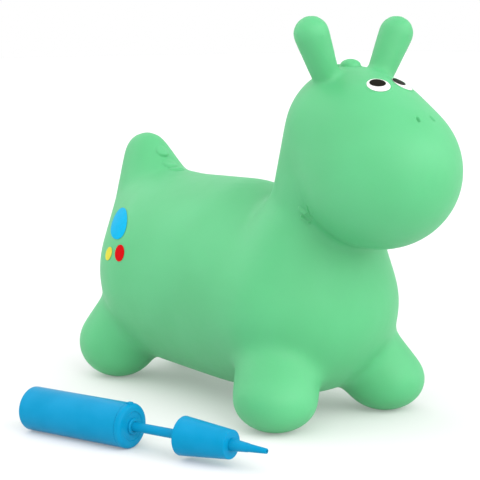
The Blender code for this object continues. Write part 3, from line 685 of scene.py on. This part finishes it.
def path_distance(point, paths):
    """Distance from a point to the nearest of some paths, each of straight stretches."""
    gaps = []
    for path in paths:
        for start, end in zip(path, path[1:]):
            nearest, along = geometry.intersect_point_line(point, start, end)
            nearest = start if along < 0 else end if along > 1 else nearest
            gaps.append((point - nearest).length)
    return min(gaps)


def folded(form, name, height, radius, paths):
    """Raise a soft fold along each path, or press it in where the height is negative."""
    relief(form, name, height, lambda point: bell(path_distance(point, paths), radius))


def nostrils(form):
    """Two small drop-shaped dents that lean together."""
    detail, muzzle = settings("relief"), settings("skin").muzzle
    paths = []
    for side in SIDES:
        middle = across(detail.nostril, side)
        point, _ = landing(form, middle * 2 - muzzle, muzzle - middle)
        lean = across(detail.nostril_drop, side)
        paths.append([point - lean / 2, point + lean / 2])
    refined(form, lambda point: path_distance(point, paths), detail.nostril_radius, NOSTRIL_REFINING)
    folded(form, "nostrils", -detail.nostril_depth, detail.nostril_radius, paths)


def mouth_line(form, line, side):
    """One line of the mouth's corner, laid on the skin."""
    points = (getattr(settings("relief"), f"{line}_{step}") for step in range(1, len(MOUTH[line]) + 1))
    return [form.closest_point_on_mesh(across(point, side))[1] for point in points]


def mouth_creases(form):
    """The pinched corners of the mouth, each with two soft folds behind it."""
    detail = settings("relief")
    creases = [mouth_line(form, "crease", side) for side in SIDES]
    folds = [mouth_line(form, line, side) for side in SIDES for line in ("upper_fold", "lower_fold")]
    refined(form, lambda point: path_distance(point, creases + folds), detail.mouth_radius, MOUTH_REFINING)
    folded(form, "mouth_folds", detail.fold_height, detail.fold_radius, folds)
    folded(form, "mouth_creases", -detail.mouth_depth, detail.mouth_radius, creases)


def print_frame(point, facing, slant):
    """A matrix at a point of the skin: +Z out of it, +X up along it, turned by the slant."""
    level = facing.cross(UP.cross(facing)).normalized()
    turn = Matrix((level, facing.cross(level), facing)).transposed()
    return Matrix.Translation(point) @ Matrix.Rotation(slant, 4, facing) @ turn.to_4x4()


def eye_frame(form, side, upwards=0, sideways=0):
    """The matrix of an eye's print, whose middle may be moved up and to the animal's left."""
    prints = settings("prints")
    level, rise = math.cos(prints.eye_pitch), math.sin(prints.eye_pitch)
    out = Vector((level * math.cos(prints.eye_yaw), side * level * math.sin(prints.eye_yaw), rise))
    middle = across(prints.eye, side) + Vector((-rise, 0, level)) * upwards + LEFT * sideways
    return print_frame(*landing(form, middle + out * prints.reach, -out), -side * prints.eye_slant)


def eye_rims(form):
    """The faint moulded line round each eye."""
    detail, prints = settings("relief"), settings("prints")
    tall, wide = (half + detail.rim_gap for half in prints.eye_size[:2])
    frames = [eye_frame(form, side).inverted() for side in SIDES]

    def gap(point):
        places = (inverse @ point for inverse in frames)
        gaps = [math.hypot(spot.x / tall, spot.y / wide) - 1 for spot in places if abs(spot.z) < tall]
        return min(gaps, default=math.inf) * tall

    refined(form, gap, detail.rim_radius, RIM_REFINING)
    relief(form, "eye_rims", detail.rim_height, lambda point: bell(abs(gap(point)), detail.rim_radius))


def copied(obj, name):
    """A copy of an object, with its own mesh."""
    twin = obj.copy()
    twin.data = obj.data.copy()
    bpy.context.collection.objects.link(twin)
    return named(twin, name)


def inner_wall(form):
    """The skin's inside: the outer form with fewer faces, drawn in by the wall and turned round."""
    shape = settings("skin")
    inside = copied(form, "inner_wall")
    modified(inside, "DECIMATE", ratio=shape.inside_detail)
    modified(inside, "DISPLACE", strength=-shape.wall, mid_level=0)
    editing(inside)
    bpy.ops.mesh.flip_normals()
    closed()
    return inside


def valve_cutter(radius, low, high):
    """A round solid about the valve's axis."""
    middle = (settings("valve").valve_x, 0, (low + high) / 2)
    bpy.ops.mesh.primitive_cylinder_add(
        vertices=ROUND_STEPS, radius=radius, depth=high - low, location=middle
    )
    return bpy.context.object


def cut(obj, other, operation):
    """Apply a Boolean with a guide, then remove the guide."""
    modified(obj, "BOOLEAN", operation=operation, solver="EXACT", object=other)
    bpy.data.objects.remove(other)


class BOUNCY_OT_skin(Operator):
    """Blow the animal's skin, with its crest, nostrils, mouth corners and valve hole"""

    bl_idname = "bouncy.skin"
    bl_label = "Skin"

    def execute(self, context):
        form = blown_form()
        crest_bumps(form)
        nostrils(form)
        mouth_creases(form)
        eye_rims(form)
        form.name = "outer_form"
        skin = joined("blown_skin", [copied(form, "outer_wall"), inner_wall(form)])
        form.hide_render = True
        valve = settings("valve")
        top = valve.pad_height + valve.pad
        hole = valve.seat_radius + SEAT_GAP
        cut(skin, valve_cutter(valve.pad_radius, valve.pad_height, top), "UNION")
        cut(skin, valve_cutter(hole, valve.pad_height - valve.pad, top + valve.pad), "DIFFERENCE")
        smooth(skin, SKIN_CREASE)
        laid(skin, animal_place())
        colours = settings("finishes")
        green = soft_plastic("skin_soft_plastic", colours.skin, colours.skin_pale)
        finished(skin, green, "root", "skin_green", "body_skin")
        return {"FINISHED"}


def printed(node, form, matrix, size, lift, made, slot):
    """A printed oval that follows the skin, a little off it."""
    prints = settings("prints")
    bpy.ops.mesh.primitive_circle_add(vertices=ROUND_STEPS, radius=1, fill_type="TRIFAN")
    oval = named(bpy.context.object, f"printed_{node}")
    editing(oval)
    bpy.ops.mesh.subdivide(number_cuts=PRINT_CUTS)
    closed()
    oval.scale = size
    laid(oval, Matrix.Translation((0, 0, prints.reach)))
    oval.matrix_world = matrix
    modified(
        oval,
        "SHRINKWRAP",
        target=form,
        wrap_method="PROJECT",
        use_project_z=True,
        use_negative_direction=True,
        use_positive_direction=False,
        offset=lift,
    )
    modified(oval, "SOLIDIFY", thickness=prints.film, offset=1)
    smooth(oval, PRINT_CREASE)
    laid(oval, animal_place())
    finished(oval, made, "root", slot, node)


class BOUNCY_OT_eyes(Operator):
    """Print the eyes: two ovals that nearly meet, each with a pupil"""

    bl_idname = "bouncy.eyes"
    bl_label = "Eyes"

    def execute(self, context):
        form = bpy.data.objects["outer_form"]
        prints, colours = settings("prints"), settings("finishes")
        white = ink("eye_white_ink", colours.white)
        dark = ink("pupil_ink", colours.pupil)
        lift = 2 * prints.lift + prints.film
        for side, word in SIDES.items():
            lay = eye_frame(form, side)
            printed(f"eye_white_{word}", form, lay, prints.eye_size, prints.lift, white, "eye_white")
            lay = eye_frame(form, side, prints.pupil_rise, -side * prints.pupil_draw_in - prints.glance)
            printed(f"pupil_{word}", form, lay, prints.pupil_size, lift, dark, "pupil_dark")
        return {"FINISHED"}


class BOUNCY_OT_spots(Operator):
    """Print one big and two small spots on the animal's right flank"""

    bl_idname = "bouncy.spots"
    bl_label = "Rump spots"

    def execute(self, context):
        form = bpy.data.objects["outer_form"]
        prints, colours = settings("prints"), settings("finishes")
        flank = settings("skin").rump_size[1] + prints.reach
        for word in SPOTS:
            middle, size, lean = (getattr(prints, f"{word}_spot{part}") for part in ("", "_size", "_lean"))
            lay = print_frame(*landing(form, middle - LEFT * flank, LEFT), lean)
            made = ink(f"spot_{word}_ink", getattr(colours, f"{word}_spot"))
            printed(f"spot_{word}", form, lay, size, prints.lift, made, f"spot_{word}")
        bpy.data.objects.remove(form)
        return {"FINISHED"}


def turned(name, profile, ring=True, bevel=0.0):
    """A turned piece. The profile's (radius, height) points are extruded one by one, then spun."""
    steps = settings("pump").steps
    bpy.ops.mesh.primitive_plane_add(size=1)
    obj = named(bpy.context.object, name)
    editing(obj)
    bpy.ops.mesh.merge(type="CENTER")
    points = [Vector((radius, 0, height)) for radius, height in profile]
    bpy.ops.transform.translate(value=points[0])
    for first, second in zip(points, points[1:] + points[:1] * ring):
        bpy.ops.mesh.extrude_vertices_move(TRANSFORM_OT_translate={"value": second - first})
    bpy.ops.mesh.select_all(action="SELECT")
    bpy.ops.mesh.spin(steps=steps, angle=FULL_TURN, center=(0, 0, 0), axis=(0, 0, 1))
    bpy.ops.mesh.select_all(action="SELECT")
    bpy.ops.mesh.remove_doubles(threshold=MERGE_DISTANCE)
    bpy.ops.mesh.normals_make_consistent(inside=False)
    closed()
    if bevel:
        crease = math.radians(BEVEL_CREASE)
        modified(obj, "BEVEL", width=bevel, segments=EDGE_STEPS, limit_method="ANGLE", angle_limit=crease)
    return obj


def arc(radius, height, round_radius, start, end, steps=ARC_STEPS):
    """Points of a profile's fillet, between two angles in degrees."""
    points = []
    for step in range(steps + 1):
        turn = math.radians(start + (end - start) * step / steps)
        points.append((radius + round_radius * math.cos(turn), height + round_radius * math.sin(turn)))
    return points


class BOUNCY_OT_valve(Operator):
    """Turn the valve's ring and its plug"""

    bl_idname = "bouncy.valve"
    bl_label = "Valve"

    def execute(self, context):
        shape, colours = settings("valve"), settings("finishes")
        lower = shape.pad_height - SEAT_GAP
        upper = shape.pad_height + shape.pad + SEAT_GAP
        top, bottom = upper + shape.flange, lower - shape.flange
        seat_profile = [
            (shape.seat_bore, top),
            (shape.flange_radius, top),
            (shape.flange_radius, upper),
            (shape.seat_radius, upper),
            (shape.seat_radius, lower),
            (shape.flange_radius, lower),
            (shape.flange_radius, bottom),
            (shape.seat_bore, bottom),
        ]
        head_top = bottom - SEAT_GAP
        head_bottom = head_top - shape.head
        tip = head_top + shape.stem
        plug_profile = [
            (0, tip - shape.core),
            (shape.core_radius, tip - shape.core),
            (shape.core_radius, tip),
            (shape.tip_radius, tip),
            (shape.seat_bore - SEAT_GAP, head_top),
            (shape.head_radius, head_top),
            *arc(shape.head_radius - shape.head / 2, head_top - shape.head / 2, shape.head / 2, 0, -90),
            (0, head_bottom),
        ]
        stand = animal_place() @ Matrix.Translation((shape.valve_x, 0, 0))
        seat = laid(turned("turned_valve_seat", seat_profile, bevel=SEAT_EDGE), stand)
        plug = laid(turned("turned_valve_plug", plug_profile, ring=False, bevel=PLUG_EDGE), stand)
        for piece in (seat, plug):
            smooth(piece, VALVE_CREASE)
        finished(seat, hard_plastic("seat_plastic", colours.seat), "root", "seat_green", "valve_seat")
        finished(plug, hard_plastic("plug_plastic", colours.plug), "plug", "plug_white", "valve_plug")
        return {"FINISHED"}


def barrel_profile(shape):
    """The closed cylinder, its mouth stepped in for the cap."""
    neck = shape.barrel_radius - shape.neck_step
    inside = neck - shape.barrel_wall
    mouth = shape.barrel + shape.neck
    inner_curve = shape.end_round - shape.barrel_wall
    return [
        (0, shape.barrel_wall),
        *arc(inside - inner_curve, shape.end_round, inner_curve, -90, 0),
        (inside, mouth),
        (neck, mouth),
        (neck, shape.barrel),
        (shape.barrel_radius - MOULDED_EDGE, shape.barrel),
        (shape.barrel_radius, shape.barrel - MOULDED_EDGE),
        *arc(shape.barrel_radius - shape.end_round, shape.end_round, shape.end_round, 0, -90),
        (0, 0),
    ]


def cap_profile(shape):
    """The skirt over the barrel's neck and the stepped face with its boss."""
    skirt = shape.barrel + SEAT_GAP
    face = shape.barrel + shape.cap
    under = face - shape.cap_face
    bore = shape.barrel_radius - shape.neck_step + SEAT_GAP
    hole = shape.rod_radius + shape.rod_clearance
    step = shape.ring_step
    return [
        (hole, under),
        (hole, face + shape.boss),
        (shape.boss_radius - step, face + shape.boss),
        (shape.boss_radius, face + shape.boss - step),
        (shape.boss_radius, face - step),
        (shape.ring_radius, face - step),
        (shape.ring_radius + step, face),
        *arc(shape.cap_radius - shape.cap_round, face - shape.cap_round, shape.cap_round, 90, 0),
        (shape.cap_radius, skirt + MOULDED_EDGE),
        (shape.cap_radius - MOULDED_EDGE, skirt),
        (bore, skirt),
        (bore, under),
    ]


def grip_profile(shape):
    """The conical grip: open at its wide rim, with a socket for the rod in its small end."""
    rim = grip_rim(shape)
    end = rim + shape.grip
    slope = (shape.grip_wide - shape.grip_small) / shape.grip
    under = end - shape.grip_end
    socket = shape.rod_radius + SEAT_GAP
    outer = socket + shape.socket_wall
    hole = shape.spigot_radius + SEAT_GAP
    edge = shape.grip_edge
    return [
        (hole, end),
        *arc(shape.grip_small - edge, end - edge, edge, 90, 0, steps=6),
        (shape.grip_wide - slope * edge, rim + edge / 2),
        *arc(shape.grip_wide - edge / 2, rim + edge / 2, edge / 2, 0, -90, steps=6),
        (shape.grip_wide - shape.grip_wall, rim),
        (shape.grip_small + slope * shape.grip_end - shape.grip_wall, under),
        (outer, under),
        (outer, under - shape.socket),
        (socket, under - shape.socket),
        (socket, under),
        (hole, under),
    ]


def nozzle_profile(shape):
    """A spigot in the grip, then two tapers with a small step between them."""
    end = grip_rim(shape) + shape.grip
    root = end + SEAT_GAP
    waist = root + shape.nozzle_root_length
    tip = waist + shape.nozzle_tip_length
    foot = end - shape.grip_end + SEAT_GAP
    edge = shape.nozzle_edge
    return [
        (shape.nozzle_bore, tip),
        *arc(shape.nozzle_tip - edge, tip - edge, edge, 90, 0, steps=5),
        (shape.nozzle_waist - shape.nozzle_step, waist),
        (shape.nozzle_waist, waist),
        (shape.nozzle_root, root),
        (shape.spigot_radius, root),
        (shape.spigot_radius, foot),
        (shape.nozzle_bore, foot),
    ]


def rod_profile(shape):
    """The hollow rod, from the piston's ring to the grip's end."""
    low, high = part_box("pump_rod")
    along_x, along_y, _ = GRIP_TURN["axis"]
    ends = 2 * shape.rod_radius * abs(along_y)
    top = grip_rim(shape) + shape.grip - shape.grip_end - SEAT_GAP
    bottom = top - (high.x - low.x - ends) / along_x
    return [
        (shape.rod_bore, top),
        (shape.rod_radius, top),
        (shape.rod_radius, bottom),
        (shape.rod_bore, bottom),
    ]


def cap_lug(shape):
    """The small block on top of the cap's skirt."""
    tall, wide, long = shape.lug
    skirt = shape.barrel + SEAT_GAP
    bpy.ops.mesh.primitive_cube_add(
        size=1, location=(-shape.cap_radius, 0, skirt + long / 2), scale=(2 * tall, wide, long)
    )
    lug = laid(bpy.context.object, Matrix.Identity(4))
    return modified(lug, "BEVEL", width=MOULDED_EDGE, segments=EDGE_STEPS)


class BOUNCY_OT_pump(Operator):
    """Turn the pump's barrel, end cap, rod, conical grip and nozzle"""

    bl_idname = "bouncy.pump"
    bl_label = "Pump"

    def execute(self, context):
        shape = settings("pump")
        blue = hard_plastic("pump_plastic", settings("finishes").pump)
        lie = pump_place()
        pieces = (
            ("pump_barrel", barrel_profile(shape), False, "pump_shell"),
            ("pump_end_cap", cap_profile(shape), True, "pump_shell"),
            ("pump_rod", rod_profile(shape), True, "pump_plunger"),
            ("pump_cone_grip", grip_profile(shape), True, "pump_plunger"),
            ("pump_nozzle", nozzle_profile(shape), True, "pump_plunger"),
        )
        for node, profile, ring, body in pieces:
            piece = turned(node.replace("pump", "turned"), profile, ring)
            if node == "pump_end_cap":
                cut(piece, cap_lug(shape), "UNION")
            smooth(laid(piece, lie), PUMP_CREASE)
            finished(piece, blue, body, "pump_blue", node)
        return {"FINISHED"}


class BOUNCY_OT_works(Operator):
    """Finish the pump's inner works: piston, valve ring, cup seal and valve disc"""

    bl_idname = "bouncy.works"
    bl_label = "Pump works"

    def execute(self, context):
        colours = settings("finishes")
        pale = hard_plastic("piston_plastic", colours.plug)
        black = rubber("seal_rubber", colours.seal)
        works = {
            "pump_piston": pale,
            "pump_valve_retainer": pale,
            "pump_cup_seal": black,
            "pump_valve_disc": black,
        }
        for node, made in works.items():
            slots = frame["nodes"][node].data.materials
            slots.clear()
            slots.append(made)
        return {"FINISHED"}


# Lights: name, degrees round the animal, degrees up, and strength
LAMPS = (
    ("nose_light", 90, 27, 1.3),
    ("far_light", 135, 25, 0.83),
    ("near_light", 45, 25, 0.46),
    ("near_high_light", 45, 55, 0.45),
    ("side_light", 315, 25, 0.36),
    ("side_high_light", 315, 55, 0.34),
    ("tail_light", 270, 40, 0.33),
)


def soft_light(name, strength, round_about, height):
    """A wide, distant light, placed by its angles round and above the animal."""
    lamp = bpy.data.lights.new(name, "SUN")
    lamp.energy = strength
    lamp.angle = settings("studio").softness
    obj = bpy.data.objects.new(name, lamp)
    bpy.context.collection.objects.link(obj)
    obj.rotation_euler = (FULL_TURN / 4 - math.radians(height), 0, math.radians(round_about))


class BOUNCY_OT_stage(Operator):
    """Set up the pale floor, the soft light and the camera"""

    bl_idname = "bouncy.stage"
    bl_label = "Studio"

    def execute(self, context):
        studio = settings("studio")
        scene = context.scene
        bpy.ops.mesh.primitive_plane_add(size=studio.floor, location=(0, 0, 0))
        floor = context.object
        floor.name = "studio_floor"
        paper = material(
            "floor_paper",
            studio.floor_colour,
            roughness=0.9,
            Specular_IOR_Level=0.1,
            Emission_Color=(1, 1, 1, 1),
            Emission_Strength=studio.floor_glow,
        )
        floor.data.materials.append(paper)
        world = bpy.data.worlds.new("studio_world")
        world.use_nodes = True
        sky = world.node_tree.nodes["Background"].inputs
        sky["Color"].default_value = (1, 1, 1, 1)
        sky["Strength"].default_value = studio.sky
        scene.world = world
        for name, round_about, height, strength in LAMPS:
            soft_light(name, strength * studio.lamps, round_about, height)
        camera = bpy.data.cameras.new("camera")
        camera.lens = studio.lens
        camera.clip_start, camera.clip_end = 0.05, 50
        stand = bpy.data.objects.new("camera", camera)
        context.collection.objects.link(stand)
        stand.location = animal_place() @ studio.camera
        stand.rotation_euler = (FULL_TURN / 4 - studio.elevation, 0, studio.azimuth)
        scene.camera = stand
        scene.view_settings.view_transform = "Standard"
        return {"FINISHED"}


class BOUNCY_PT_panel(Panel):
    """Sidebar panel with the steps in order"""

    bl_idname = "BOUNCY_PT_panel"
    bl_label = "Bouncy Animal"
    bl_space_type = "VIEW_3D"
    bl_region_type = "UI"
    bl_category = "Bouncy Animal"

    def draw(self, context):
        for step in STEPS:
            self.layout.operator(step.bl_idname)


GROUPS = {
    "skin": SkinShape,
    "relief": SkinRelief,
    "prints": PrintShape,
    "valve": ValveShape,
    "pump": PumpShape,
    "finishes": Finishes,
    "studio": Studio,
}
STEPS = (
    BOUNCY_OT_skin,
    BOUNCY_OT_eyes,
    BOUNCY_OT_spots,
    BOUNCY_OT_valve,
    BOUNCY_OT_pump,
    BOUNCY_OT_works,
    BOUNCY_OT_stage,
)


def register():
    """Register the classes and hang the settings on the scene."""
    for item in (*GROUPS.values(), *STEPS, BOUNCY_PT_panel):
        bpy.utils.register_class(item)
    for name, group in GROUPS.items():
        setattr(bpy.types.Scene, f"bouncy_{name}", PointerProperty(type=group))


def unregister():
    """Undo what register does."""
    for name in GROUPS:
        delattr(bpy.types.Scene, f"bouncy_{name}")
    for item in (BOUNCY_PT_panel, *reversed(STEPS), *reversed(GROUPS.values())):
        bpy.utils.unregister_class(item)


def main():
    """Register the tools and run them in order."""
    register()
    bpy.ops.bouncy.skin()
    bpy.ops.bouncy.eyes()
    bpy.ops.bouncy.spots()
    bpy.ops.bouncy.valve()
    bpy.ops.bouncy.pump()
    bpy.ops.bouncy.works()
    bpy.ops.bouncy.stage()


if __name__ == "__main__":
    main()
